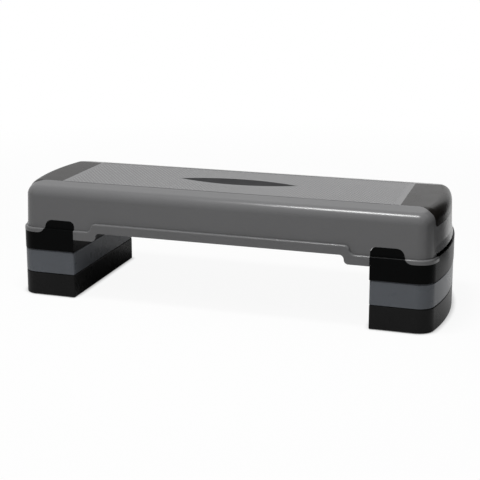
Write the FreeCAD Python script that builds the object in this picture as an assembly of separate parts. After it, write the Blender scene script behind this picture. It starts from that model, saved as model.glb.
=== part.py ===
import FreeCAD, Part
import math
import os

Vector = FreeCAD.Vector

# Plan of the platform, in millimetres: X along its length, Y across it, Z up from the floor
platform_length = 958.0
platform_width = 331.0
end_bow_radius = 548.0
corner_radius = 38.0
stack_length = 149.0

# Heights of the pieces in the stack
riser_height = 52.0
foot_height = 40.0
shell_height = 107.0

# Deck shell: walls, edge rounding and the stepped band round its skirt
shell_wall = 4.0
edge_radius = 23.0
edge_limit_share = 0.92
draft_inset = 3.8
ledge_depth = 5.6
ledge_edge_radius = 3.2
corner_band_height = 9.5
ledge_step = 19.0
band_height = 20.5
lobe_length = 52.7
lobe_curve_width = 19.0
ledge_curve_width = 23.0
ledge_curve_lag = 11.4

# Notches in the skirt that the feet's tabs fill
notch_height = 29.0
notch_length = 87.0
notch_top_length = 54.0
notch_corner_radius = 12.5
notch_depth = 14.0

# Opening in the skirt at each end, and the lip over it
end_opening_width = 244.0
end_opening_height = 16.3
lip_height = 17.5
lip_proud = 1.6

# Stiffening ribs and screw bosses under the deck
rib_thickness = 2.5
rib_depth = 40.0
rib_pitch_limit = 90.0
boss_radius = 6.0
pilot_depth = 22.0

# Long shoulders that fall from the tread field to the front and back edges, and the raised lines along them
tread_side_margin = 58.0
shoulder_drop = 8.0
shoulder_bend_radius = 40.0
tread_end_margin = 4.0
tread_line_width = 1.2
tread_line_height = 0.5
tread_line_rounding = 0.4

# Lens-shaped badge in the middle of the deck
badge_length = 274.0
badge_width = 58.0
badge_thickness = 1.6
badge_sink = 0.3
badge_peg_share = 0.27

# End caps let into the deck
cap_length = 98.0
cap_width = 213.0
cap_flare = 20.0
cap_flare_start = 37.0
cap_flare_length = 33.0
cap_drop = 37.0
cap_corner_radius = 12.0
cap_thickness = 2.0
cap_peg_inset = 28.0
cap_peg_spacing = 164.0

# Pegs that hold the badge and the caps
peg_radius = 2.5
peg_length = 6.0

# Feet
foot_inset = 0.4
foot_wall = 3.5
foot_plate = 4.0
foot_corner_radius = 0.8
end_wall_height = 9.8
end_strip_inset = 5.4

# Risers
riser_inset = 1.0
riser_wall = 3.5
riser_plate = 4.0
riser_corner_radius = 4.0
riser_edge_radius = 1.2
riser_rib_thickness = 2.5
riser_rib_lift = 3.0

# Groove round the upper edge of every riser, seen as a shadow line under the piece above
groove_height = 2.0
groove_depth = 1.8

# Grip pads, their posts and the sockets they stand in
pad_radius = 13.0
pad_proud = 1.5
pad_recess = 2.0
pad_edge_radius = 1.0
pad_stem_radius = 3.5
pad_stem_length = 9.0
post_radius = 17.5
pad_inner_margin = 28.0
pad_end_margin = 49.0
pad_side_margin = 34.5
socket_extra_depth = 1.0

# Screws that hold the feet
screw_radius = 2.0
screw_length = 20.0
screw_head_radius = 4.2
screw_head_height = 2.6
screw_drive_radius = 1.5
screw_drive_depth = 1.4
screw_inner_margin = 37.0
screw_end_margin = 38.0
screw_spacing = 82.0

# Clearances
fit_clearance = 0.4
cap_clearance = 0.2
peg_clearance = 0.2
pad_clearance = 0.4
socket_clearance = 1.0
screw_clearance = 0.3
pilot_clearance = 0.1

# How far a cut or a joining piece runs past a face, and how exactly a face is found by its height
overrun = 5.0
joining = 0.5
height_tolerance = 0.01

# Places that follow from the sizes above
half_length = platform_length / 2
half_width = platform_width / 2
bow_centre_x = half_length - end_bow_radius
corner_y = half_width - corner_radius
corner_x = bow_centre_x + math.sqrt((end_bow_radius - corner_radius) ** 2 - corner_y ** 2)
corner_turn = math.atan2(corner_y, corner_x - bow_centre_x)
foot_inner_x = half_length - stack_length
base_rim_z = pad_proud
mid_rim_z = base_rim_z + riser_height
foot_rim_z = mid_rim_z + riser_height
seat_z = foot_rim_z + foot_height
deck_z = seat_z + shell_height
top_corner_radius = corner_radius - ledge_depth - draft_inset
top_edge_radius = min(edge_radius, top_corner_radius * edge_limit_share)
low_ledge_z = seat_z + corner_band_height
high_ledge_z = low_ledge_z + ledge_step
mid_skirt_z = high_ledge_z - band_height
lobe_z = low_ledge_z - band_height
lobe_curve_x = foot_inner_x - lobe_length
notch_top_z = seat_z + notch_height
lip_z = seat_z + end_opening_height
cap_start_x = half_length - cap_length
screw_inner_x = foot_inner_x + screw_inner_margin
screw_end_x = half_length - screw_end_margin
screw_y = screw_spacing / 2
rib_bottom_z = deck_z - rib_depth
tread_y = half_width - tread_side_margin
shoulder_turn = math.atan2(shoulder_drop, tread_side_margin - ledge_depth - draft_inset)


def mirror_x(shape):
    """The same shape on the other end of the platform."""
    return shape.mirror(Vector(0, 0, 0), Vector(1, 0, 0))


def mirror_y(shape):
    """The same shape on the other long side of the platform."""
    return shape.mirror(Vector(0, 0, 0), Vector(0, 1, 0))


def fuse_all(shapes):
    """One shape from several that overlap."""
    return shapes[0].multiFuse(shapes[1:]).removeSplitter()


def box_between(low, high):
    """Upright box between two opposite corners."""
    size = high.sub(low)
    return Part.makeBox(size.x, size.y, size.z, low)


def post(radius, x, y, low_z, high_z):
    """Upright cylinder between two heights."""
    return Part.makeCylinder(radius, high_z - low_z, Vector(x, y, low_z))


def line(start, end):
    return Part.LineSegment(start, end).toShape()


def arc(start, middle, end):
    return Part.Arc(start, middle, end).toShape()


def end_edges(inset, z):
    """Edges of the right end's plan from front to back: corner, bowed end, corner."""
    radius = corner_radius - inset
    bow = end_bow_radius - inset
    middle_turn = (corner_turn + math.pi / 2) / 2
    front_start = Vector(corner_x, -corner_y - radius, z)
    middle_x = corner_x + radius * math.cos(middle_turn)
    middle_y = -corner_y - radius * math.sin(middle_turn)
    front_middle = Vector(middle_x, middle_y, z)
    front_end = Vector(bow_centre_x + bow * math.cos(corner_turn), -bow * math.sin(corner_turn), z)
    tip = Vector(half_length - inset, 0, z)
    back_end = Vector(front_end.x, -front_end.y, z)
    back_middle = Vector(front_middle.x, -front_middle.y, z)
    back_start = Vector(front_start.x, -front_start.y, z)
    return [
        arc(front_start, front_middle, front_end),
        arc(front_end, tip, back_end),
        arc(back_end, back_middle, back_start),
    ]


def outline_wire(inset, z):
    """Closed plan of the whole platform, drawn in by inset."""
    right = end_edges(inset, z)
    side_y = half_width - inset
    back = line(Vector(corner_x, side_y, z), Vector(-corner_x, side_y, z))
    left = [mirror_x(edge) for edge in reversed(right)]
    front = line(Vector(-corner_x, -side_y, z), Vector(corner_x, -side_y, z))
    return Part.Wire(Part.__sortEdges__(right + [back] + left + [front]))


def outline_block(inset, low_z, high_z):
    """Upright block with the platform's plan."""
    return Part.Face(outline_wire(inset, low_z)).extrude(Vector(0, 0, high_z - low_z))


def stack_block(inset, low_z, high_z, corner=0):
    """Upright block with the plan of the right foot or riser, its inner corners rounded if asked."""
    inner_x = foot_inner_x + inset
    side_y = half_width - inset
    far = end_edges(inset, low_z)
    start = Vector(corner_x, -side_y, low_z)
    finish = Vector(corner_x, side_y, low_z)
    front = line(Vector(inner_x, -side_y, low_z), start)
    back = line(finish, Vector(inner_x, side_y, low_z))
    inner = line(Vector(inner_x, side_y, low_z), Vector(inner_x, -side_y, low_z))
    block = Part.Face(Part.Wire([front] + far + [back, inner])).extrude(Vector(0, 0, high_z - low_z))
    if corner:
        uprights = [
            edge for edge in block.Edges
            if edge.BoundBox.XMax < inner_x + height_tolerance and edge.BoundBox.ZLength > height_tolerance
        ]
        block = block.makeFillet(corner, uprights)
    return block


def grooved_block(inset, low_z, high_z, corner):
    """Block of a riser with a groove round its upper edge."""
    step_z = high_z - groove_height
    lower = stack_block(inset, low_z, step_z, corner)
    lower = lower.makeFillet(riser_edge_radius, level_edges(lower, step_z))
    upper = stack_block(inset + groove_depth, step_z - joining, high_z, corner)
    return fuse_all([lower, upper])


def level_edges(shape, z):
    """Edges that lie flat at one height."""
    near = height_tolerance
    return [
        edge for edge in shape.Edges
        if abs(edge.BoundBox.ZMin - z) < near and abs(edge.BoundBox.ZMax - z) < near
    ]


def rim_edges(shape, low_z):
    """Edges round the faces that lie above one height: those that only one of these faces has."""
    faces = [face for face in shape.Faces if face.BoundBox.ZMin > low_z]
    edges = [edge for face in faces for edge in face.Edges]
    return [edge for edge in edges if sum(edge.isSame(other) for other in edges) == 1]


def shoulder_room(inset):
    """Space over the sloping front shoulder of the deck, for a body drawn in by inset."""
    x = -half_length - overrun - overrun
    inner_y = inset * math.tan(shoulder_turn / 2) - tread_y
    outer_y = -half_width - overrun - overrun
    top_z = deck_z - inset
    outer_z = top_z - (inner_y - outer_y) * math.tan(shoulder_turn)
    points = [
        Vector(x, inner_y, top_z),
        Vector(x, outer_y, outer_z),
        Vector(x, outer_y, top_z + overrun),
        Vector(x, inner_y, top_z + overrun),
        Vector(x, inner_y, top_z),
    ]
    return Part.Face(Part.makePolygon(points)).extrude(Vector(-x - x, 0, 0))


def deck_body(inset):
    """Solid form of the deck with drafted sides, sloping shoulders and rounded edges, drawn in by inset."""
    top_z = deck_z - inset
    low = outline_wire(ledge_depth + inset, lobe_z - overrun)
    high = outline_wire(ledge_depth + draft_inset + inset, top_z)
    body = Part.makeLoft([low, high], True, True)
    room = shoulder_room(inset)
    body = body.cut(room).cut(mirror_y(room))
    bends = [edge for edge in level_edges(body, top_z) if edge.BoundBox.YLength < height_tolerance]
    body = body.makeFillet(shoulder_bend_radius - inset, bends)
    return body.makeFillet(top_edge_radius - inset, rim_edges(body, deck_z - shell_height / 2))


def side_curve(start, end):
    """Two equal arcs that carry a level line from one height to another, seen from the front."""
    width = abs(end.x - start.x)
    height = abs(end.z - start.z)
    radius = (width ** 2 + height ** 2) / (4 * height)
    half_turn = math.asin(width / 2 / radius) / 2
    along = math.copysign(radius * math.sin(half_turn), end.x - start.x)
    down = math.copysign(radius * (1 - math.cos(half_turn)), end.z - start.z)
    middle = start.add(end).multiply(1 / 2)
    first = Vector(start.x + along, start.y, start.z + down)
    second = Vector(end.x - along, end.y, end.z - down)
    return [arc(start, first, middle), arc(middle, second, end)]


def prism_y(edges, depth):
    """Solid from a closed outline seen from the front, pushed back along Y."""
    return Part.Face(Part.Wire(edges)).extrude(Vector(0, depth, 0))


def both_ends(prism):
    """A right-hand prism together with its mirror image."""
    return fuse_all([prism, mirror_x(prism)])


def stepped_prism(curve_start, curve_end, points):
    """Prism right through the platform under a level line that steps down along a curve, at both ends."""
    edges = [line(points[-1], curve_start)]
    edges += side_curve(curve_start, curve_end)
    edges.append(line(curve_end, points[0]))
    edges += [line(start, end) for start, end in zip(points, points[1:])]
    return both_ends(prism_y(edges, platform_width + overrun + overrun))


def below_skirt():
    """Everything under the skirt's lower edge: level middle, lobes beside the feet, seats over them."""
    y = -half_width - overrun
    floor_z = lobe_z - overrun - overrun
    far_x = half_length + overrun
    curve_start = Vector(lobe_curve_x - lobe_curve_width / 2, y, mid_skirt_z)
    curve_end = Vector(lobe_curve_x + lobe_curve_width / 2, y, lobe_z)
    points = [
        Vector(foot_inner_x, y, lobe_z),
        Vector(foot_inner_x, y, seat_z),
        Vector(far_x, y, seat_z),
        Vector(far_x, y, floor_z),
        Vector(0, y, floor_z),
        Vector(0, y, mid_skirt_z),
    ]
    return stepped_prism(curve_start, curve_end, points)


def below_ledge(drop):
    """Everything under the ledge line, lowered by drop: high along the middle, low near the feet."""
    y = -half_width - overrun
    floor_z = lobe_z - overrun
    far_x = half_length + overrun
    curve_x = lobe_curve_x + ledge_curve_lag
    curve_start = Vector(curve_x - ledge_curve_width / 2, y, high_ledge_z - drop)
    curve_end = Vector(curve_x + ledge_curve_width / 2, y, low_ledge_z - drop)
    points = [
        Vector(far_x, y, low_ledge_z - drop),
        Vector(far_x, y, floor_z),
        Vector(0, y, floor_z),
        Vector(0, y, high_ledge_z - drop),
    ]
    return stepped_prism(curve_start, curve_end, points)


def skirt_band(inset, drop):
    """Block of the proud band round the skirt, drawn in by inset and with its ledge lowered by drop."""
    block = outline_block(inset, lobe_z - overrun, high_ledge_z - drop)
    return block.common(below_ledge(drop))


def rounded_band():
    """The proud band with the outer edge of its ledge rounded; the seams across its top stay as they are."""
    band = skirt_band(0, 0)
    edges = [
        edge for edge in band.Edges
        if edge.BoundBox.ZMin > low_ledge_z - height_tolerance and edge.BoundBox.XLength > height_tolerance
    ]
    return band.makeFillet(ledge_edge_radius, edges)


def notch_prism(gap, depth):
    """Front right notch for a foot's tab, made smaller all round by gap."""
    y = -half_width - overrun
    inner_x = foot_inner_x + gap
    top_z = notch_top_z - gap
    low_z = lobe_z - overrun
    round_start = Vector(inner_x, y, top_z - notch_corner_radius)
    round_end = Vector(inner_x + notch_corner_radius, y, top_z)
    slant = notch_corner_radius * (1 - math.sqrt(1 / 2))
    round_middle = Vector(inner_x + slant, y, top_z - slant)
    curve_start = Vector(foot_inner_x + notch_top_length - gap, y, top_z)
    curve_end = Vector(foot_inner_x + notch_length - gap, y, seat_z)
    low_outer = Vector(curve_end.x, y, low_z)
    low_inner = Vector(inner_x, y, low_z)
    edges = [line(low_inner, round_start), arc(round_start, round_middle, round_end)]
    edges.append(line(round_end, curve_start))
    edges += side_curve(curve_start, curve_end)
    edges += [line(curve_end, low_outer), line(low_outer, low_inner)]
    return prism_y(edges, overrun + depth)


def end_zone(width, low_z, high_z):
    """Box over the middle of the right end."""
    low = Vector(corner_x, -width / 2, low_z)
    high = Vector(half_length + overrun, width / 2, high_z)
    return box_between(low, high)


def wall_inset(z):
    """How far the deck's drafted wall lies in from the outline at one height."""
    low_z = lobe_z - overrun
    return ledge_depth + draft_inset * (z - low_z) / (deck_z - low_z)


def end_lip():
    """Lip over the opening in the right end of the skirt: it slopes out from the wall to its lower edge."""
    top_z = lip_z + lip_height
    low = outline_wire(ledge_depth - lip_proud, lip_z)
    high = outline_wire(wall_inset(top_z) + joining, top_z)
    block = Part.makeLoft([low, high], True, True)
    return block.common(end_zone(end_opening_width, lip_z, top_z))


def rib_along_y(x, low_z):
    low = Vector(x - rib_thickness / 2, -half_width, low_z)
    return box_between(low, Vector(x + rib_thickness / 2, half_width, deck_z))


def rib_along_x(y, start_x, end_x, low_z):
    low = Vector(start_x, y - rib_thickness / 2, low_z)
    return box_between(low, Vector(end_x, y + rib_thickness / 2, deck_z))


def screw_places():
    """Places of one foot's screws, at the right end."""
    return [(x, y) for x in (screw_inner_x, screw_end_x) for y in (-screw_y, screw_y)]


def deck_ribs():
    """Rib grid under the deck, deep over the feet, with the screw bosses."""
    span = 2 * screw_inner_x
    bays = math.ceil(span / rib_pitch_limit)
    pieces = [rib_along_y(span * bay / bays - screw_inner_x, rib_bottom_z) for bay in range(1, bays)]
    rows = [-screw_y - screw_spacing, -screw_y, screw_y, screw_y + screw_spacing]
    pieces += [rib_along_x(y, -half_length, half_length, rib_bottom_z) for y in rows]
    deep = [rib_along_y(x, seat_z) for x in (screw_inner_x, screw_end_x)]
    deep += [rib_along_x(y, foot_inner_x + notch_depth, half_length, seat_z) for y in rows]
    deep += [post(boss_radius, x, y, seat_z, deck_z) for x, y in screw_places()]
    pieces += deep + [mirror_x(rib) for rib in deep]
    return fuse_all(pieces).common(deck_body(shell_wall - joining))


def lens_prism(gap, low_z, high_z):
    """Upright lens with pointed tips, made smaller all round by gap."""
    tip_x = badge_length / 2 - gap
    side_y = badge_width / 2 - gap
    left_tip = Vector(-tip_x, 0, low_z)
    right_tip = Vector(tip_x, 0, low_z)
    front = arc(left_tip, Vector(0, -side_y, low_z), right_tip)
    back = arc(right_tip, Vector(0, side_y, low_z), left_tip)
    return Part.Face(Part.Wire([front, back])).extrude(Vector(0, 0, high_z - low_z))


def badge_peg_places():
    return [(-badge_length * badge_peg_share, 0), (badge_length * badge_peg_share, 0)]


def cap_peg_places():
    x = cap_start_x + cap_peg_inset
    return [(x, -cap_peg_spacing / 2), (x, cap_peg_spacing / 2)]


def cap_region(gap):
    """Space of the right end cap, made smaller all round by gap: flared plan, rounded lower corners."""
    top_z = deck_z + overrun
    low_z = deck_z - cap_drop + gap
    start_x = cap_start_x + gap
    far_x = half_length + overrun
    side_y = cap_width / 2 - gap
    wide_y = side_y + cap_flare
    flare_x = cap_start_x + cap_flare_start
    wide_x = flare_x + cap_flare_length
    mid_x = (flare_x + wide_x) / 2
    flare = Part.BezierCurve()
    flare.setPoles([
        Vector(flare_x, -side_y, 0),
        Vector(mid_x, -side_y, 0),
        Vector(mid_x, -wide_y, 0),
        Vector(wide_x, -wide_y, 0),
    ])
    front_flare = flare.toShape()
    back_flare = mirror_y(front_flare)
    edges = [
        line(Vector(start_x, side_y, 0), Vector(start_x, -side_y, 0)),
        line(Vector(start_x, -side_y, 0), Vector(flare_x, -side_y, 0)),
        front_flare,
        line(Vector(wide_x, -wide_y, 0), Vector(far_x, -wide_y, 0)),
        line(Vector(far_x, -wide_y, 0), Vector(far_x, wide_y, 0)),
        line(Vector(far_x, wide_y, 0), Vector(wide_x, wide_y, 0)),
        back_flare,
        line(Vector(flare_x, side_y, 0), Vector(start_x, side_y, 0)),
    ]
    plan = Part.Face(Part.Wire(Part.__sortEdges__(edges)))
    plan.translate(Vector(0, 0, low_z))
    prism = plan.extrude(Vector(0, 0, top_z - low_z))
    bound = box_between(Vector(start_x - overrun, -wide_y, low_z), Vector(far_x, wide_y, top_z))
    lower = [
        edge for edge in level_edges(bound, low_z)
        if edge.BoundBox.YLength < height_tolerance
    ]
    return prism.common(bound.makeFillet(cap_corner_radius, lower))


def end_cap():
    """Right end cap: a skin of the deck's own form, with pegs underneath."""
    skin = deck_body(0).common(cap_region(cap_clearance)).cut(deck_body(cap_thickness))
    top_z = deck_z - cap_thickness + joining
    low_z = deck_z - cap_thickness - peg_length
    pegs = [post(peg_radius, x, y, low_z, top_z) for x, y in cap_peg_places()]
    return fuse_all([skin] + pegs)


def cap_pocket():
    """Room for the right end cap in the deck shell, with its peg holes."""
    room = deck_body(-overrun).common(cap_region(0)).cut(deck_body(cap_thickness + cap_clearance))
    holes = [
        post(peg_radius + peg_clearance, x, y, deck_z - shell_wall - overrun, deck_z)
        for x, y in cap_peg_places()
    ]
    return fuse_all([room] + holes)


def centre_badge():
    """Lens-shaped insert with its pegs."""
    top_z = deck_z - badge_sink
    plate = lens_prism(fit_clearance, top_z - badge_thickness, top_z)
    under_z = top_z - badge_thickness
    pegs = [
        post(peg_radius, x, y, under_z - peg_length, under_z + joining)
        for x, y in badge_peg_places()
    ]
    return fuse_all([plate] + pegs)


def badge_pocket():
    """Room for the badge in the deck, with its peg holes."""
    room = lens_prism(0, deck_z - badge_sink - badge_thickness, deck_z + overrun)
    holes = [
        post(peg_radius + peg_clearance, x, y, deck_z - shell_wall - overrun, deck_z)
        for x, y in badge_peg_places()
    ]
    return fuse_all([room] + holes)


def tread_lines():
    """Raised lines along the front and the back of the tread field, from cap to cap."""
    half_x = cap_start_x - tread_end_margin
    top_z = deck_z + tread_line_height
    low = Vector(-half_x, -tread_y, deck_z - joining)
    front = box_between(low, Vector(half_x, tread_line_width - tread_y, top_z))
    front = front.makeFillet(tread_line_rounding, level_edges(front, top_z))
    return [front, mirror_y(front)]


def deck_shell():
    """Grey deck moulding: drafted walls, stepped skirt, ribs, bosses, notches and pockets."""
    body = deck_body(0).fuse(rounded_band())
    body = body.cut(deck_body(shell_wall)).cut(skirt_band(shell_wall, shell_wall)).cut(below_skirt())
    opening = end_zone(end_opening_width, lobe_z - overrun, lip_z)
    body = body.cut(opening).cut(mirror_x(opening))
    lip = end_lip().cut(deck_body(shell_wall))
    body = fuse_all([body, lip, mirror_x(lip), deck_ribs()] + tread_lines())
    front_notch = notch_prism(0, notch_depth)
    notches = [front_notch, mirror_y(front_notch)]
    notches += [mirror_x(notch) for notch in notches]
    pocket = cap_pocket()
    pilots = [
        post(screw_radius + pilot_clearance, x, y, seat_z - overrun, seat_z + pilot_depth)
        for x, y in screw_places()
    ]
    pilots += [mirror_x(pilot) for pilot in pilots]
    for cut in notches + [pocket, mirror_x(pocket), badge_pocket()] + pilots:
        body = body.cut(cut)
    return body


def pad_places():
    """Names and places of the four pads under a foot or riser, at the right end."""
    inner_x = foot_inner_x + pad_inner_margin
    outer_x = half_length - pad_end_margin
    y = half_width - pad_side_margin
    return {
        "front_inner": (inner_x, -y),
        "front_outer": (outer_x, -y),
        "back_inner": (inner_x, y),
        "back_outer": (outer_x, y),
    }


def grip_pad(x, y, rim_z):
    """Rubber pad: a disc that stands proud of the rim, with a stem that plugs into its post."""
    low_z = rim_z - pad_proud
    top_z = rim_z + pad_recess
    disc = post(pad_radius, x, y, low_z, top_z)
    disc = disc.makeFillet(pad_edge_radius, level_edges(disc, low_z))
    stem = post(pad_stem_radius, x, y, top_z - joining, top_z + pad_stem_length)
    return fuse_all([disc, stem])


def pad_seat(x, y, rim_z):
    """Room for a pad and its stem in the bottom of a post."""
    recess = post(pad_radius + pad_clearance, x, y, rim_z - overrun, rim_z + pad_recess)
    stem_z = rim_z + pad_recess + pad_stem_length + pad_clearance
    hole = post(pad_stem_radius + peg_clearance, x, y, rim_z, stem_z)
    return recess.fuse(hole)


def cell_walls(rim_z, top_z, inset):
    """Ribs and pad posts inside a hollow foot or riser."""
    low_z = rim_z + riser_rib_lift
    half_rib = riser_rib_thickness / 2
    mid_x = (foot_inner_x + half_length) / 2
    low = Vector(mid_x - half_rib, -half_width, low_z)
    ribs = [box_between(low, Vector(mid_x + half_rib, half_width, top_z))]
    for y in (-screw_spacing, 0, screw_spacing):
        low = Vector(foot_inner_x, y - half_rib, low_z)
        ribs.append(box_between(low, Vector(half_length, y + half_rib, top_z)))
    posts = [post(post_radius, x, y, rim_z, top_z) for x, y in pad_places().values()]
    return fuse_all(ribs + posts).common(stack_block(inset, rim_z, top_z))


def riser(rim_z):
    """Hollow riser block of the right end, with pad posts below and pad sockets on top."""
    top_z = rim_z + riser_height
    body = grooved_block(riser_inset, rim_z, top_z, riser_corner_radius)
    body = body.cut(stack_block(riser_inset + riser_wall, rim_z - overrun, top_z - riser_plate))
    body = fuse_all([body, cell_walls(rim_z, top_z - riser_plate + joining, riser_inset + joining)])
    for x, y in pad_places().values():
        socket_z = top_z - pad_proud - socket_extra_depth
        body = body.cut(post(pad_radius + socket_clearance, x, y, socket_z, top_z + overrun))
        body = body.cut(pad_seat(x, y, rim_z))
    return body


def foot_tab():
    """Front tab of the right foot: flush with the skirt's band, and above the ledge with the wall."""
    prism = notch_prism(fit_clearance, notch_depth - fit_clearance)
    low_ring = outline_block(foot_inset, seat_z - joining, low_ledge_z)
    low_ring = low_ring.makeFillet(ledge_edge_radius, level_edges(low_ring, low_ledge_z))
    low_ring = low_ring.cut(outline_block(foot_inset + foot_wall, seat_z, low_ledge_z - foot_wall))
    high_zone = outline_block(0, low_ledge_z - foot_wall, notch_top_z)
    high_ring = deck_body(0).cut(deck_body(foot_wall)).common(high_zone)
    return low_ring.fuse(high_ring).common(prism)


def foot_end_wall():
    """Wall of the right foot in the opening of the skirt's end, with a set-back strip above it."""
    low_z = seat_z - joining
    wall_z = seat_z + end_wall_height
    strip_z = lip_z - fit_clearance
    strip_inset = foot_inset + end_strip_inset
    strip_back = ledge_depth + shell_wall - joining - fit_clearance
    wall = outline_block(foot_inset, low_z, wall_z)
    wall = wall.cut(outline_block(foot_inset + foot_wall, low_z, wall_z))
    strip = outline_block(strip_inset, low_z, strip_z)
    strip = strip.cut(outline_block(strip_back, low_z, strip_z))
    zone = end_zone(end_opening_width - fit_clearance - fit_clearance, low_z, strip_z)
    return wall.fuse(strip).common(zone)


def foot():
    """Black foot of the right end: hollow block with a top plate, tabs and an end wall."""
    body = stack_block(foot_inset, foot_rim_z, seat_z, foot_corner_radius)
    body = body.cut(stack_block(foot_inset + foot_wall, foot_rim_z - overrun, seat_z - foot_plate))
    tab = foot_tab()
    body = fuse_all([
        body,
        cell_walls(foot_rim_z, seat_z - joining, foot_inset + joining),
        tab,
        mirror_y(tab),
        foot_end_wall(),
    ])
    for x, y in pad_places().values():
        body = body.cut(pad_seat(x, y, foot_rim_z))
    for x, y in screw_places():
        hole_low_z = seat_z - foot_plate - overrun
        body = body.cut(post(screw_radius + screw_clearance, x, y, hole_low_z, seat_z + overrun))
    return body


def foot_screw(x, y):
    """Pan-head screw driven up through the foot's plate into a boss of the deck shell."""
    head_top_z = seat_z - foot_plate
    head_low_z = head_top_z - screw_head_height
    head = post(screw_head_radius, x, y, head_low_z, head_top_z)
    head = head.makeFillet(screw_head_height / 2, level_edges(head, head_low_z))
    shank = post(screw_radius, x, y, head_top_z - joining, head_top_z + screw_length)
    drive = post(screw_drive_radius, x, y, head_low_z - overrun, head_low_z + screw_drive_depth)
    return fuse_all([head, shank]).cut(drive)


def build():
    """All the pieces by name."""
    pieces = {
        "deck_shell": deck_shell(),
        "centre_badge": centre_badge(),
        "right_end_cap": end_cap(),
        "right_foot": foot(),
        "right_foot_screws": Part.makeCompound([foot_screw(x, y) for x, y in screw_places()]),
        "right_mid_riser": riser(mid_rim_z),
        "right_base_riser": riser(base_rim_z),
    }
    for level, rim_z in (("foot", foot_rim_z), ("mid", mid_rim_z), ("base", base_rim_z)):
        for place, (x, y) in pad_places().items():
            pieces["right_%s_%s_pad" % (level, place)] = grip_pad(x, y, rim_z)
    for name in [name for name in pieces if name.startswith("right_")]:
        pieces[name.replace("right_", "left_")] = mirror_x(pieces[name])
    return pieces


os.makedirs("parts", exist_ok=True)
for name, shape in build().items():
    shape.exportStep(os.path.join("parts", name + ".step"))
    print(name, "solids", len(shape.Solids), "valid", shape.isValid(), "volume mm3 %.0f" % shape.Volume)
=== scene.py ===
"""Looks of a stacking aerobic step: its finishes, tread nubs and grooved grip pads, and a studio."""
import math

import bmesh
import bpy
from bpy.props import FloatProperty, FloatVectorProperty, IntProperty, PointerProperty
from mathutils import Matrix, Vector


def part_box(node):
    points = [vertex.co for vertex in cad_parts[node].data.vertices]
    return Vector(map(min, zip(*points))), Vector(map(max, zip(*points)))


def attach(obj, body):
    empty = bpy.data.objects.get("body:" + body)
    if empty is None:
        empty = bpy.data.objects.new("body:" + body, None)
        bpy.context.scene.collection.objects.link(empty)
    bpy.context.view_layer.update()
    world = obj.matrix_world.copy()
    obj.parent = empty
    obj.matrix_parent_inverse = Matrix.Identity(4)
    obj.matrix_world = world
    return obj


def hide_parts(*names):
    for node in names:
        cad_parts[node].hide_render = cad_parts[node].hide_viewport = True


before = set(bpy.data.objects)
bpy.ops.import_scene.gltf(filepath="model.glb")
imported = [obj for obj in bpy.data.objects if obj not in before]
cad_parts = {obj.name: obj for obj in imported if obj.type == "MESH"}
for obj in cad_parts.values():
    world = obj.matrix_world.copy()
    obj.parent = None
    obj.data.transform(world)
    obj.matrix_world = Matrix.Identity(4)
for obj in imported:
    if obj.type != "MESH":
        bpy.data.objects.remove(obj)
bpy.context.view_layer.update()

bl_info = {
    "name": "Step Platform Looks",
    "version": (1, 0, 0),
    "blender": (4, 5, 0),
    "location": "View3D > Sidebar > Step Platform",
    "description": "Finishes and small details of a stacking aerobic step platform",
    "category": "Object",
}

SIDES = ("left", "right")
LEVELS = ("foot", "mid", "base")
CORNERS = ("front_inner", "front_outer", "back_inner", "back_outer")

DECK_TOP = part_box("right_end_cap")[1].z
FIELD_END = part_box("right_end_cap")[0].x
BADGE_LOW, BADGE_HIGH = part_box("centre_badge")
PAD_LOW, PAD_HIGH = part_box("left_base_front_inner_pad")

# Finishes of the mouldings, with the grain in metres and the share by which the colour varies
DECK_FINISH = {"roughness": 0.25, "specular": 0.26, "grain_size": 0.0008, "grain_depth": 0.00004, "vary": 0.035}
NUB_FINISH = {"roughness": 0.30, "specular": 0.25, "grain_size": 0.0008, "grain_depth": 0.00003, "vary": 0.04}
BADGE_FINISH = {"roughness": 0.5, "specular": 0.035, "grain_size": 0.0006, "grain_depth": 0.00006, "vary": 0.06}
CAP_FINISH = {"roughness": 0.26, "specular": 0.095, "grain_size": 0.004, "grain_depth": 0.00001, "vary": 0.06}
FOOT_FINISH = {"roughness": 0.28, "specular": 0.025, "grain_size": 0.0010, "grain_depth": 0.00004, "vary": 0.15}
RISER_FINISH = {"roughness": 0.28, "specular": 0.10, "grain_size": 0.0010, "grain_depth": 0.00004, "vary": 0.05}
BASE_FINISH = {"roughness": 0.28, "specular": 0.04, "grain_size": 0.0010, "grain_depth": 0.00004, "vary": 0.15}
# Share of the deck grey that the nubs get: painted shade, a darker copy of the same plastic that dims the tread
# field
NUB_PAINTED_SHADE = 0.9
CLOUD_SIZE = 0.11
CLOUD_SHARE = 0.6
FLECK_SHARE = 0.4
FLECKS_PER_GRAIN = 1.7
SMUDGE_SIZE = 0.035
SMUDGE_SHARES = (0.92, 1.08)
GRAIN_STRENGTH = 0.5
NOISE_RANGE = (0.25, 0.75)

# Rubber of the pads
BLOOM_SIZE = 0.006
BLOOM_SHADES = (0.8, 1.5)
RUBBER_GRAIN_SIZE = 0.0006
RUBBER_GRAIN_DEPTH = 0.00012
RUBBER_GRAIN_STRENGTH = 0.6
RUBBER_ROUGHNESS = (0.72, 0.88)
RUBBER_SPECULAR = 0.35

# Steel of the screws
MARK_SIZE = 0.0009
MARK_DEPTH = 0.00005
MARK_STRENGTH = 0.3
PATCH_SIZE = 0.004
PATCH_SHADE = 0.88
STEEL_ROUGHNESS = (0.26, 0.42)

# Fineness of the made meshes, and the shares of a nub's length and width at its top and its root
NUB_SIDES = 8
NUB_TOP_SHARE = 0.34
NUB_ROOT_SHARE = 0.5
PAD_STEPS = 40
PAD_EDGE_STEPS = 4
PAD_SMOOTH_ANGLE = math.radians(35)
MERGE_DISTANCE = 1e-7

# Surroundings: shares of the ambient strength at the far left and the far right, and how white a
# reflection sees them, over a span of its direction along X
AMBIENT_SHARES = (1.45, 0.2)
MIRROR_SPAN = (-0.44, -0.16)
MIRROR_WHITE = (0.45, 0.85)

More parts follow.
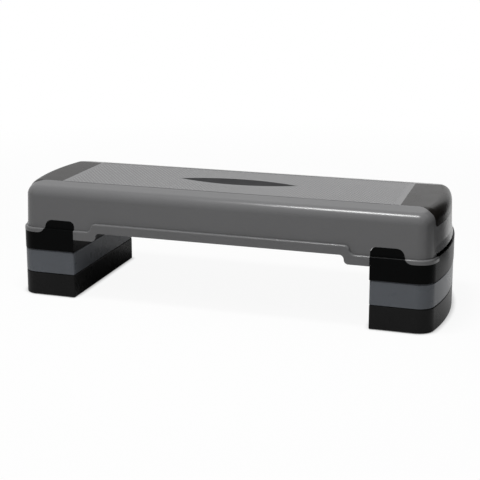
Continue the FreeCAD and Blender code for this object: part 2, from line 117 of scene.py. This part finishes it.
# Floor: how white the camera sees it near the object, where that ends in shadow reaches, and the
# distances from the middle between which reflections see it turn white
FLOOR_NEAR_WHITE = 0.93
SHADOW_FADE = 3
FLOOR_MIRROR_SPAN = (0.42, 0.58)
CONTACT_SAMPLES = 8

# Lamps, and the foot and top of the dark cards
LAMP_AIM = (0, 0, 0.2)
KEY_LAMP = {"place": (-0.08, -0.42, 2.35), "size": (0.55, 0.4), "power": 47, "mirrored": True}
TOP_LAMP = {"place": (0.1, -0.95, 2.3), "size": (1.8, 1.0), "power": 15, "mirrored": False}
CARD_FOOT = [(0.63, 0.35, 0.001), (1.1, 0.35, 0.001), (1.1, -0.6, 0.001)]
CARD_TOP = [(0.42, 0.35, 1.0), (1.1, 0.35, 1.0), (1.1, -0.6, 1.0)]
CARD_COLOUR = (0.003, 0.003, 0.003, 1)
WHITE = (1, 1, 1, 1)

# Camera
SENSOR_WIDTH = 36.0
CLIP_NEAR = 0.01
CLIP_FAR = 100.0


def length(name, description, default):
    """A size in metres that a user may change."""
    return FloatProperty(name=name, description=description, default=default, min=0, unit="LENGTH",
                         subtype="DISTANCE", precision=4)


def paint(name, description, default):
    """A colour that a user may change, in linear light."""
    return FloatVectorProperty(name=name, description=description, default=default, size=3, min=0, max=1,
                               subtype="COLOR")


class TreadSizes(bpy.types.PropertyGroup):
    """Sizes of the raised nubs on the tread field."""

    pitch_along: length("Pitch along", "Distance between nubs along the deck", 0.0095)
    pitch_across: length("Pitch across", "Distance between rows of nubs across the deck", 0.0062)
    nub_length: length("Nub length", "Longest side of a nub", 0.0066)
    nub_width: length("Nub width", "Width of a nub", 0.0028)
    nub_height: length("Nub height", "Height of a nub over the deck", 0.00015)
    nub_sink: length("Nub sink", "Depth of a nub's root in the deck", 0.0003)
    half_width: length("Half width", "From the middle of the deck to a raised line's inner side", 0.1063)
    end_margin: length("End margin", "Plain strip between the nubs' field and an end cap", 0.010)
    border: length("Border", "Bare margin between the nubs and the raised lines", 0.0012)
    badge_gap: length("Badge gap", "Bare margin round the badge", 0.004)
    slant: FloatProperty(name="Slant", description="Turn of a nub, one way and the other in turn",
                         subtype="ANGLE", unit="ROTATION", default=math.radians(32))


class PadSizes(bpy.types.PropertyGroup):
    """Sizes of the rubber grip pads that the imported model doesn't hold."""

    disc_height: length("Disc height", "Height of the round disc, without its stem", 0.0035)
    stem_radius: length("Stem radius", "Radius of the stem that plugs into the post", 0.0035)
    edge_radius: length("Edge radius", "Rounding of the disc's lower edge", 0.001)
    groove_width: length("Groove width", "Width of a groove at its mouth", 0.0013)
    groove_depth: length("Groove depth", "Depth of a groove in the sole", 0.0008)
    groove_pitch: length("Groove pitch", "Distance between two grooves", 0.0031)
    groove_count: IntProperty(name="Grooves", description="Round grooves in each sole",
                              default=3, min=0, max=5)


class FinishColours(bpy.types.PropertyGroup):
    """Colours of the finishes."""

    deck: paint("Deck grey", "Grained moulding of the deck shell", (0.112, 0.112, 0.114))
    badge: paint("Badge", "Satin insert in the middle of the deck", (0.013, 0.013, 0.014))
    cap: paint("End cap", "Smooth dark end caps", (0.009, 0.0078, 0.007))
    foot: paint("Foot black", "Feet", (0.0022, 0.0024, 0.0024))
    base: paint("Base black", "Base risers", (0.012, 0.012, 0.012))
    riser: paint("Riser grey", "Middle risers", (0.094, 0.101, 0.112))
    rubber: paint("Rubber", "Grip pads", (0.012, 0.012, 0.012))
    steel: paint("Steel", "Zinc plated screws", (0.62, 0.62, 0.63))


class StageSizes(bpy.types.PropertyGroup):
    """Camera, lamps and floor."""

    camera_place: FloatVectorProperty(name="Camera", description="Place of the camera", size=3, unit="LENGTH",
                                      subtype="TRANSLATION", default=(0.7063, -2.2401, 0.7774))
    camera_turn: FloatProperty(name="Turn", description="Turn of the view to the left", subtype="ANGLE",
                               unit="ROTATION", default=math.radians(17.407))
    camera_tilt: FloatProperty(name="Tilt", description="Tilt of the view below the horizon", subtype="ANGLE",
                               unit="ROTATION", default=math.radians(11.423))
    lens: FloatProperty(name="Lens", description="Focal length of the camera in millimetres",
                        default=80.62, min=1)
    frame_shift: FloatProperty(name="Frame shift", description="Shift of the picture along its height",
                               default=-0.1667)
    floor_size: length("Floor size", "Side of the square floor", 14.0)
    floor: paint("Floor", "Pale floor", (0.62, 0.62, 0.62))
    shadow_reach: length("Shadow reach", "How far from the middle the floor shows the shadow in full", 0.8)
    contact_reach: length("Contact reach", "How near a piece has to be to darken the floor under it", 0.012)
    ambient: FloatProperty(name="Ambient", description="Strength of the light from all round",
                           default=0.42, min=0)


def add(tree, kind, inputs=None, **settings):
    """A new node with its settings, and its inputs as values or as outputs of other nodes."""
    made = tree.nodes.new(kind)
    for name, value in settings.items():
        setattr(made, name, value)
    for key, value in (inputs or {}).items():
        socket = made.inputs[key]
        if isinstance(value, bpy.types.NodeSocket):
            tree.links.new(value, socket)
        else:
            socket.default_value = value
    return made


def calc(tree, operation, *values):
    """The output of a Math node."""
    return add(tree, "ShaderNodeMath", dict(enumerate(values)), operation=operation).outputs[0]


def start_material(name):
    """A material with a plain shader, its tree, and the piece's own coordinates."""
    material = bpy.data.materials.new(name)
    material.use_nodes = True
    tree = material.node_tree
    tree.nodes.clear()
    shader = add(tree, "ShaderNodeBsdfPrincipled")
    add(tree, "ShaderNodeOutputMaterial", {"Surface": shader.outputs[0]})
    spot = add(tree, "ShaderNodeTexCoord").outputs["Object"]
    return material, tree, shader, spot


def noise(tree, spot, size, detail=2.0):
    """Soft noise whose blotches are about as large as size, in metres."""
    return add(tree, "ShaderNodeTexNoise", {"Vector": spot, "Scale": 1 / size, "Detail": detail}).outputs[0]


def ramp(tree, value, given, wanted):
    """A value that runs from one end of a range to the other, brought to another range."""
    inputs = {"Value": value, "From Min": given[0], "From Max": given[1],
              "To Min": wanted[0], "To Max": wanted[1]}
    return add(tree, "ShaderNodeMapRange", inputs).outputs[0]


def spread(tree, value, low, high):
    """Noise stretched to run from low to high."""
    return ramp(tree, value, NOISE_RANGE, (low, high))


def blend_colours(tree, factor, first, second):
    """A colour between two others."""
    mix = add(tree, "ShaderNodeMix", {0: factor, 6: (*first, 1), 7: (*second, 1)}, data_type="RGBA")
    return mix.outputs[2]


def shade(colour, share):
    """A colour made darker or lighter by a share."""
    return tuple(min(1.0, channel * share) for channel in colour)


def moulded_finish(name, colour, roughness, specular, grain_size, grain_depth, vary):
    """Moulded plastic: faint clouds in its colour, uneven gloss and a fine grain."""
    material, tree, shader, spot = start_material(name)
    cloud = noise(tree, spot, CLOUD_SIZE, 4.0)
    fleck = noise(tree, spot, grain_size * FLECKS_PER_GRAIN, 1.0)
    tone = calc(tree, "MULTIPLY_ADD", fleck, FLECK_SHARE, calc(tree, "MULTIPLY", cloud, CLOUD_SHARE))
    dark, pale = shade(colour, 1 - vary), shade(colour, 1 + vary)
    colours = blend_colours(tree, spread(tree, tone, 0.0, 1.0), dark, pale)
    smudge = noise(tree, spot, SMUDGE_SIZE, 3.0)
    gloss = spread(tree, smudge, roughness * SMUDGE_SHARES[0], roughness * SMUDGE_SHARES[1])
    grain = noise(tree, spot, grain_size)
    bump = add(tree, "ShaderNodeBump", {"Height": grain, "Strength": GRAIN_STRENGTH, "Distance": grain_depth})
    for socket, value in (("Base Color", colours), ("Roughness", gloss), ("Normal", bump.outputs[0])):
        tree.links.new(value, shader.inputs[socket])
    shader.inputs["Specular IOR Level"].default_value = specular
    return material


def rubber_finish(name, colour):
    """Matt rubber with a fine dusty bloom."""
    material, tree, shader, spot = start_material(name)
    bloom = noise(tree, spot, BLOOM_SIZE, 4.0)
    dark, pale = (shade(colour, share) for share in BLOOM_SHADES)
    colours = blend_colours(tree, spread(tree, bloom, 0.0, 1.0), dark, pale)
    grain = noise(tree, spot, RUBBER_GRAIN_SIZE)
    bump = add(tree, "ShaderNodeBump", {
        "Height": grain, "Strength": RUBBER_GRAIN_STRENGTH, "Distance": RUBBER_GRAIN_DEPTH})
    for socket, value in (("Base Color", colours), ("Roughness", spread(tree, bloom, *RUBBER_ROUGHNESS)),
                          ("Normal", bump.outputs[0])):
        tree.links.new(value, shader.inputs[socket])
    shader.inputs["Specular IOR Level"].default_value = RUBBER_SPECULAR
    return material


def steel_finish(name, colour):
    """Zinc plated steel with faint turning marks."""
    material, tree, shader, spot = start_material(name)
    marks = noise(tree, spot, MARK_SIZE, 3.0)
    patch = noise(tree, spot, PATCH_SIZE)
    colours = blend_colours(tree, spread(tree, patch, 0.0, 1.0), shade(colour, PATCH_SHADE), colour)
    bump = add(tree, "ShaderNodeBump", {"Height": marks, "Strength": MARK_STRENGTH, "Distance": MARK_DEPTH})
    for socket, value in (("Base Color", colours), ("Roughness", spread(tree, marks, *STEEL_ROUGHNESS)),
                          ("Normal", bump.outputs[0])):
        tree.links.new(value, shader.inputs[socket])
    shader.inputs["Metallic"].default_value = 1.0
    return material


def finish_node(node, material):
    """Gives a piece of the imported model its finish."""
    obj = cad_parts[node]
    for slot in obj.material_slots:
        slot.material = material


def new_tree(name, sockets):
    """A geometry tree with named inputs; returns it with its input and output nodes."""
    tree = bpy.data.node_groups.new(name, "GeometryNodeTree")
    tree.interface.new_socket("Geometry", in_out="INPUT", socket_type="NodeSocketGeometry")
    tree.interface.new_socket("Geometry", in_out="OUTPUT", socket_type="NodeSocketGeometry")
    for label, kind in sockets.items():
        tree.interface.new_socket(label, in_out="INPUT", socket_type=kind)
    given = tree.nodes.new("NodeGroupInput").outputs
    result = tree.nodes.new("NodeGroupOutput").inputs
    return tree, given, result


def run_tree(name, mesh, tree, values):
    """Runs a geometry tree on a mesh with these inputs, and returns an object with the plain result."""
    seed = bpy.data.objects.new(name + "_seed", mesh)
    bpy.context.scene.collection.objects.link(seed)
    modifier = seed.modifiers.new(name, "NODES")
    modifier.node_group = tree
    for item in tree.interface.items_tree:
        if item.in_out == "INPUT" and item.name in values:
            modifier[item.identifier] = values[item.name]
    graph = bpy.context.evaluated_depsgraph_get()
    result = bpy.data.meshes.new_from_object(seed.evaluated_get(graph), depsgraph=graph)
    seed.modifiers.remove(modifier)
    bpy.data.objects.remove(seed)
    piece = bpy.data.objects.new(name, result)
    result.name = name
    bpy.context.scene.collection.objects.link(piece)
    return piece


def end_tree(tree, result, geometry, material_socket):
    """Makes the instances real, gives them their finish and ends the tree."""
    real = add(tree, "GeometryNodeRealizeInstances", {"Geometry": geometry})
    done = add(tree, "GeometryNodeSetMaterial", {"Geometry": real.outputs[0], "Material": material_socket})
    tree.links.new(done.outputs[0], result["Geometry"])


def nub_tree():
    """Rows of slanted nubs on a grid of points, left out round the lens-shaped badge."""
    number = "NodeSocketFloat"
    tree, given, result = new_tree("tread_nub_rows", {
        "Field length": number, "Field width": number, "Pitch along": number, "Pitch across": number,
        "Nub length": number, "Nub width": number, "Nub height": number, "Sink": number, "Slant": number,
        "Lens radius": number, "Lens offset": number, "Height": number, "Finish": "NodeSocketMaterial"})
    columns = calc(tree, "FLOOR", calc(tree, "DIVIDE", given["Field length"], given["Pitch along"]))
    rows = calc(tree, "FLOOR", calc(tree, "DIVIDE", given["Field width"], given["Pitch across"]))
    grid = add(tree, "GeometryNodeMeshGrid", {
        "Size X": calc(tree, "MULTIPLY", columns, given["Pitch along"]),
        "Size Y": calc(tree, "MULTIPLY", rows, given["Pitch across"]),
        "Vertices X": calc(tree, "ADD", columns, 1), "Vertices Y": calc(tree, "ADD", rows, 1)})
    place = add(tree, "ShaderNodeSeparateXYZ", {0: add(tree, "GeometryNodeInputPosition").outputs[0]}).outputs
    half_width = calc(tree, "MULTIPLY", calc(tree, "MULTIPLY", rows, given["Pitch across"]), 0.5)
    from_front = calc(tree, "ADD", place[1], half_width)
    row = calc(tree, "ROUND", calc(tree, "DIVIDE", from_front, given["Pitch across"]))
    odd = calc(tree, "MODULO", row, 2.0)
    lift = calc(tree, "MULTIPLY", odd, calc(tree, "MULTIPLY", given["Pitch along"], 0.5))
    offset = add(tree, "ShaderNodeCombineXYZ", {0: lift, 2: given["Height"]}).outputs[0]
    moved = add(tree, "GeometryNodeSetPosition", {"Geometry": grid.outputs[0], "Offset": offset}).outputs[0]
    reach = calc(tree, "ADD", calc(tree, "ABSOLUTE", place[1]), given["Lens offset"])
    span = calc(tree, "SQRT", calc(tree, "MULTIPLY_ADD", place[0], place[0], calc(tree, "POWER", reach, 2.0)))
    in_lens = calc(tree, "LESS_THAN", span, given["Lens radius"])
    past_end = calc(tree, "GREATER_THAN", place[0], calc(tree, "MULTIPLY", given["Field length"], 0.5))
    gone = calc(tree, "MAXIMUM", in_lens, past_end)
    kept = add(tree, "GeometryNodeDeleteGeometry", {"Geometry": moved, "Selection": gone}, domain="POINT")
    depth = calc(tree, "ADD", given["Nub height"], given["Sink"])
    cone = add(tree, "GeometryNodeMeshCone", {
        "Vertices": NUB_SIDES, "Radius Top": NUB_TOP_SHARE, "Radius Bottom": NUB_ROOT_SHARE, "Depth": 1.0})
    scale = add(tree, "ShaderNodeCombineXYZ", {
        0: given["Nub length"], 1: given["Nub width"], 2: depth}).outputs[0]
    drop = add(tree, "ShaderNodeCombineXYZ", {2: calc(tree, "MULTIPLY", given["Sink"], -1.0)}).outputs[0]
    nub = add(tree, "GeometryNodeTransform", {
        "Geometry": cone.outputs[0], "Translation": drop, "Scale": scale})
    way = calc(tree, "MULTIPLY_ADD", odd, 2.0, -1.0)
    turn = add(tree, "ShaderNodeCombineXYZ", {2: calc(tree, "MULTIPLY", way, given["Slant"])}).outputs[0]
    spin = add(tree, "FunctionNodeEulerToRotation", {0: turn}).outputs[0]
    copies = add(tree, "GeometryNodeInstanceOnPoints", {
        "Points": kept.outputs[0], "Instance": nub.outputs[0], "Rotation": spin}).outputs[0]
    flat = add(tree, "GeometryNodeSetShadeSmooth", {"Geometry": copies, "Shade Smooth": False}).outputs[0]
    end_tree(tree, result, flat, given["Finish"])
    return tree


def copies_tree(name):
    """Copies of one made piece on the points of a mesh."""
    tree, given, result = new_tree(name, {"Piece": "NodeSocketObject", "Finish": "NodeSocketMaterial"})
    piece = add(tree, "GeometryNodeObjectInfo", {"Object": given["Piece"]}).outputs["Geometry"]
    copies = add(tree, "GeometryNodeInstanceOnPoints", {
        "Points": given["Geometry"], "Instance": piece}).outputs[0]
    end_tree(tree, result, copies, given["Finish"])
    return tree


def points_mesh(name, places):
    """A mesh of bare points."""
    mesh = bpy.data.meshes.new(name)
    mesh.from_pydata([tuple(place) for place in places], [], [])
    return mesh


def turned_mesh(name, profile, steps):
    """A closed solid turned round Z from (radius, height) points, the first and last on the axis."""
    work = bmesh.new()
    verts = [work.verts.new((radius, 0, height)) for radius, height in profile]
    edges = [work.edges.new(pair) for pair in zip(verts, verts[1:])]
    bmesh.ops.spin(work, geom=verts + edges, axis=(0, 0, 1), cent=(0, 0, 0), steps=steps, angle=math.tau,
                   use_merge=True)
    bmesh.ops.remove_doubles(work, verts=work.verts, dist=MERGE_DISTANCE)
    bmesh.ops.recalc_face_normals(work, faces=work.faces)
    mesh = bpy.data.meshes.new(name)
    work.to_mesh(mesh)
    work.free()
    return mesh


def smooth_by_angle(mesh, angle):
    """Smooth faces, with edges sharper than angle left crisp."""
    mesh.polygons.foreach_set("use_smooth", [True] * len(mesh.polygons))
    mesh.set_sharp_from_angle(angle=angle)


def corner_arc(centre, radius, start, end, steps):
    """Points of an arc in a profile."""
    points = []
    for step in range(steps + 1):
        angle = start + (end - start) * step / steps
        points.append((centre[0] + radius * math.cos(angle), centre[1] + radius * math.sin(angle)))
    return points


class STEP_OT_deck(bpy.types.Operator):
    """Finishes the grained deck shell"""

    bl_idname = "step.deck"
    bl_label = "Deck Shell"

    def execute(self, context):
        colours = context.scene.step_colours
        material = moulded_finish("deck_grained_grey", colours.deck, **DECK_FINISH)
        finish_node("deck_shell", material)
        return {"FINISHED"}


class STEP_OT_tread(bpy.types.Operator):
    """Covers the tread field with slanted nubs"""

    bl_idname = "step.tread"
    bl_label = "Tread Nubs"

    def execute(self, context):
        sizes = context.scene.step_tread
        half_length = BADGE_HIGH.x
        half_width = BADGE_HIGH.y
        radius = (half_length ** 2 + half_width ** 2) / (2 * half_width)
        colours = context.scene.step_colours
        # The nubs' finish is the deck grey made darker: painted shade on the tread field
        material = moulded_finish("tread_nub_grey_painted_shade", shade(colours.deck, NUB_PAINTED_SHADE), **NUB_FINISH)
        piece = run_tree("tread_nubs", points_mesh("tread_seed", []), nub_tree(), {
            "Field length": 2 * (FIELD_END - sizes.end_margin - sizes.border) - sizes.nub_length,
            "Field width": 2 * (sizes.half_width - sizes.border) - sizes.nub_width,
            "Pitch along": sizes.pitch_along, "Pitch across": sizes.pitch_across,
            "Nub length": sizes.nub_length, "Nub width": sizes.nub_width, "Nub height": sizes.nub_height,
            "Sink": sizes.nub_sink, "Slant": sizes.slant, "Height": DECK_TOP,
            "Lens radius": radius + sizes.badge_gap + sizes.nub_length / 2,
            "Lens offset": radius - half_width, "Finish": material})
        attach(piece, "platform")
        return {"FINISHED"}


class STEP_OT_badge(bpy.types.Operator):
    """Finishes the bare lens-shaped badge"""

    bl_idname = "step.badge"
    bl_label = "Centre Badge"

    def execute(self, context):
        colours = context.scene.step_colours
        finish_node("centre_badge", moulded_finish("badge_satin", colours.badge, **BADGE_FINISH))
        return {"FINISHED"}


class STEP_OT_caps(bpy.types.Operator):
    """Finishes the smooth end caps"""

    bl_idname = "step.caps"
    bl_label = "End Caps"

    def execute(self, context):
        colours = context.scene.step_colours
        material = moulded_finish("cap_smooth_dark", colours.cap, **CAP_FINISH)
        for side in SIDES:
            finish_node("%s_end_cap" % side, material)
        return {"FINISHED"}


class STEP_OT_mouldings(bpy.types.Operator):
    """Finishes the feet and the risers"""

    bl_idname = "step.mouldings"
    bl_label = "Feet and Risers"

    def execute(self, context):
        colours = context.scene.step_colours
        foot = moulded_finish("foot_black", colours.foot, **FOOT_FINISH)
        grey = moulded_finish("riser_slate_grey", colours.riser, **RISER_FINISH)
        base = moulded_finish("base_black", colours.base, **BASE_FINISH)
        for side in SIDES:
            finish_node("%s_foot" % side, foot)
            finish_node("%s_mid_riser" % side, grey)
            finish_node("%s_base_riser" % side, base)
        return {"FINISHED"}


class STEP_OT_pads(bpy.types.Operator):
    """Puts grooved rubber pads under the feet and the risers"""

    bl_idname = "step.pads"
    bl_label = "Grip Pads"

    def sole(self, sizes, radius, top):
        """Profile of one pad from the middle of its grooved sole to the top of its stem."""
        profile = [(0, 0)]
        half = sizes.groove_width / 2
        for number in range(sizes.groove_count):
            middle = sizes.groove_pitch * (number + 1)
            depth = sizes.groove_depth
            profile += [(middle - half, 0), (middle - half / 2, depth)]
            profile += [(middle + half / 2, depth), (middle + half, 0)]
        profile += corner_arc((radius - sizes.edge_radius, sizes.edge_radius), sizes.edge_radius,
                              -math.pi / 2, 0, PAD_EDGE_STEPS)
        profile += [(radius, sizes.disc_height), (sizes.stem_radius, sizes.disc_height)]
        profile += [(sizes.stem_radius, top), (0, top)]
        return profile

    def execute(self, context):
        sizes = context.scene.step_pads
        material = rubber_finish("pad_rubber", context.scene.step_colours.rubber)
        profile = self.sole(sizes, (PAD_HIGH.x - PAD_LOW.x) / 2, PAD_HIGH.z - PAD_LOW.z)
        pad = bpy.data.objects.new("pad_pattern", turned_mesh("pad_pattern", profile, PAD_STEPS))
        tree = copies_tree("pad_copies")
        for side in SIDES:
            for level in LEVELS:
                nodes = ["%s_%s_%s_pad" % (side, level, corner) for corner in CORNERS]
                boxes = [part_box(node) for node in nodes]
                places = [((low.x + high.x) / 2, (low.y + high.y) / 2, low.z) for low, high in boxes]
                name = "%s_%s_grip_pads" % (side, level)
                piece = run_tree(name, points_mesh(name, places), tree, {"Piece": pad, "Finish": material})
                smooth_by_angle(piece.data, PAD_SMOOTH_ANGLE)
                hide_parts(*nodes)
                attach(piece, "platform" if level == "foot" else "%s_%s" % (side, level))
        bpy.data.objects.remove(pad)
        return {"FINISHED"}


class STEP_OT_screws(bpy.types.Operator):
    """Finishes the screws of the feet"""

    bl_idname = "step.screws"
    bl_label = "Foot Screws"

    def execute(self, context):
        material = steel_finish("screw_zinc", context.scene.step_colours.steel)
        for side in SIDES:
            finish_node("%s_foot_screws" % side, material)
        return {"FINISHED"}


class STEP_OT_stage(bpy.types.Operator):
    """Sets up the floor, the lamps, the surroundings and the camera"""

    bl_idname = "step.stage"
    bl_label = "Studio"

    def seen(self, tree, camera=1.0, mirror=1.0):
        """How white the surroundings are for rays from the camera, and for reflected and passed rays."""
        path = add(tree, "ShaderNodeLightPath").outputs
        other = calc(tree, "MAXIMUM", path["Is Glossy Ray"], path["Is Transmission Ray"])
        direct = calc(tree, "MULTIPLY", path["Is Camera Ray"], camera)
        return calc(tree, "MAXIMUM", direct, calc(tree, "MULTIPLY", other, mirror))

    def surroundings(self, scene, sizes):
        """White for the camera, and softer light from the left than from the right for the pieces."""
        world = bpy.data.worlds.new("studio_white")
        world.use_nodes = True
        tree = world.node_tree
        tree.nodes.clear()
        way = add(tree, "ShaderNodeTexCoord").outputs["Generated"]
        across = add(tree, "ShaderNodeSeparateXYZ", {0: way}).outputs[0]
        side = ramp(tree, across, (-1.0, 1.0), [share * sizes.ambient for share in AMBIENT_SHARES])
        soft = add(tree, "ShaderNodeBackground", {"Color": WHITE, "Strength": side})
        white = add(tree, "ShaderNodeBackground", {"Color": WHITE, "Strength": 1.0})
        share = self.seen(tree, mirror=ramp(tree, across, MIRROR_SPAN, MIRROR_WHITE))
        both = add(tree, "ShaderNodeMixShader", {0: share, 1: soft.outputs[0], 2: white.outputs[0]})
        add(tree, "ShaderNodeOutputWorld", {"Surface": both.outputs[0]})
        scene.world = world

    def floor(self, scene, sizes):
        """A pale floor with the object's shadow, white for the camera and for far reflections."""
        half = sizes.floor_size / 2
        corners = [(-half, -half, 0), (half, -half, 0), (half, half, 0), (-half, half, 0)]
        mesh = bpy.data.meshes.new("studio_floor")
        mesh.from_pydata(corners, [], [(0, 1, 2, 3)])
        floor = bpy.data.objects.new("studio_floor", mesh)
        scene.collection.objects.link(floor)
        material = bpy.data.materials.new("floor_pale")
        material.use_nodes = True
        tree = material.node_tree
        tree.nodes.clear()
        matt = add(tree, "ShaderNodeBsdfDiffuse", {"Color": (*sizes.floor, 1)})
        white = add(tree, "ShaderNodeEmission", {"Color": WHITE, "Strength": 1.0})
        spot = add(tree, "ShaderNodeTexCoord").outputs["Object"]
        away = add(tree, "ShaderNodeVectorMath", {0: spot}, operation="LENGTH").outputs["Value"]
        fade = (sizes.shadow_reach, SHADOW_FADE * sizes.shadow_reach)
        far = ramp(tree, away, fade, (FLOOR_NEAR_WHITE, 1.0))
        open_air = add(tree, "ShaderNodeAmbientOcclusion", {"Distance": sizes.contact_reach},
                       samples=CONTACT_SAMPLES)
        direct = calc(tree, "MULTIPLY", far, open_air.outputs["AO"])
        share = self.seen(tree, camera=direct, mirror=ramp(tree, away, FLOOR_MIRROR_SPAN, (0.0, 1.0)))
        both = add(tree, "ShaderNodeMixShader", {0: share, 1: matt.outputs[0], 2: white.outputs[0]})
        add(tree, "ShaderNodeOutputMaterial", {"Surface": both.outputs[0]})
        mesh.materials.append(material)

    def lamp(self, scene, name, place, size, power, mirrored):
        """A rectangular soft lamp; mirrored says whether glossy pieces show it."""
        light = bpy.data.lights.new(name, "AREA")
        light.shape = "RECTANGLE"
        light.size, light.size_y = size
        light.energy = power
        lamp = bpy.data.objects.new(name, light)
        lamp.location = place
        lamp.rotation_euler = (Vector(LAMP_AIM) - Vector(place)).to_track_quat("-Z", "Y").to_euler()
        lamp.visible_glossy = mirrored
        scene.collection.objects.link(lamp)

    def card(self, scene):
        """Dark cards behind and beside the right end, which only the gloss of the pieces shows."""
        mesh = bpy.data.meshes.new("dark_card")
        mesh.from_pydata(CARD_FOOT + CARD_TOP, [], [(0, 1, 4, 3), (1, 2, 5, 4)])
        card = bpy.data.objects.new("dark_card", mesh)
        scene.collection.objects.link(card)
        material = bpy.data.materials.new("card_black")
        material.use_nodes = True
        tree = material.node_tree
        tree.nodes.clear()
        matt = add(tree, "ShaderNodeBsdfDiffuse", {"Color": CARD_COLOUR})
        add(tree, "ShaderNodeOutputMaterial", {"Surface": matt.outputs[0]})
        mesh.materials.append(material)
        card.visible_camera = False
        card.visible_diffuse = False
        card.visible_shadow = False

    def camera(self, scene, sizes):
        """The camera at the photo's angle."""
        camera = bpy.data.objects.new("photo_camera", bpy.data.cameras.new("photo_camera"))
        camera.location = sizes.camera_place
        camera.rotation_euler = (math.pi / 2 - sizes.camera_tilt, 0, sizes.camera_turn)
        camera.data.sensor_width = SENSOR_WIDTH
        camera.data.lens = sizes.lens
        camera.data.shift_y = sizes.frame_shift
        camera.data.clip_start = CLIP_NEAR
        camera.data.clip_end = CLIP_FAR
        scene.collection.objects.link(camera)
        scene.camera = camera

    def execute(self, context):
        scene = context.scene
        sizes = scene.step_stage
        scene.view_settings.view_transform = "Standard"
        self.surroundings(scene, sizes)
        self.floor(scene, sizes)
        self.lamp(scene, "key_softbox", **KEY_LAMP)
        self.lamp(scene, "top_softbox", **TOP_LAMP)
        self.card(scene)
        self.camera(scene, sizes)
        return {"FINISHED"}


OPERATORS = (STEP_OT_deck, STEP_OT_tread, STEP_OT_badge, STEP_OT_caps, STEP_OT_mouldings, STEP_OT_pads,
             STEP_OT_screws, STEP_OT_stage)
GROUPS = {"step_tread": TreadSizes, "step_pads": PadSizes, "step_colours": FinishColours,
          "step_stage": StageSizes}


class STEP_PT_panel(bpy.types.Panel):
    """Lists the pieces and their sizes"""

    bl_idname = "STEP_PT_panel"
    bl_label = "Step Platform"
    bl_space_type = "VIEW_3D"
    bl_region_type = "UI"
    bl_category = "Step Platform"

    def draw(self, context):
        for operator in OPERATORS:
            self.layout.operator(operator.bl_idname)
        for name, group in GROUPS.items():
            box = self.layout.box()
            for key in group.__annotations__:
                box.prop(getattr(context.scene, name), key)


def register():
    for group in GROUPS.values():
        bpy.utils.register_class(group)
    for operator in OPERATORS:
        bpy.utils.register_class(operator)
    bpy.utils.register_class(STEP_PT_panel)
    for name, group in GROUPS.items():
        setattr(bpy.types.Scene, name, PointerProperty(type=group))


def unregister():
    for name in GROUPS:
        delattr(bpy.types.Scene, name)
    bpy.utils.unregister_class(STEP_PT_panel)
    for operator in reversed(OPERATORS):
        bpy.utils.unregister_class(operator)
    for group in reversed(list(GROUPS.values())):
        bpy.utils.unregister_class(group)


def main():
    register()
    bpy.ops.step.deck()
    bpy.ops.step.tread()
    bpy.ops.step.badge()
    bpy.ops.step.caps()
    bpy.ops.step.mouldings()
    bpy.ops.step.pads()
    bpy.ops.step.screws()
    bpy.ops.step.stage()


if __name__ == "__main__":
    main()
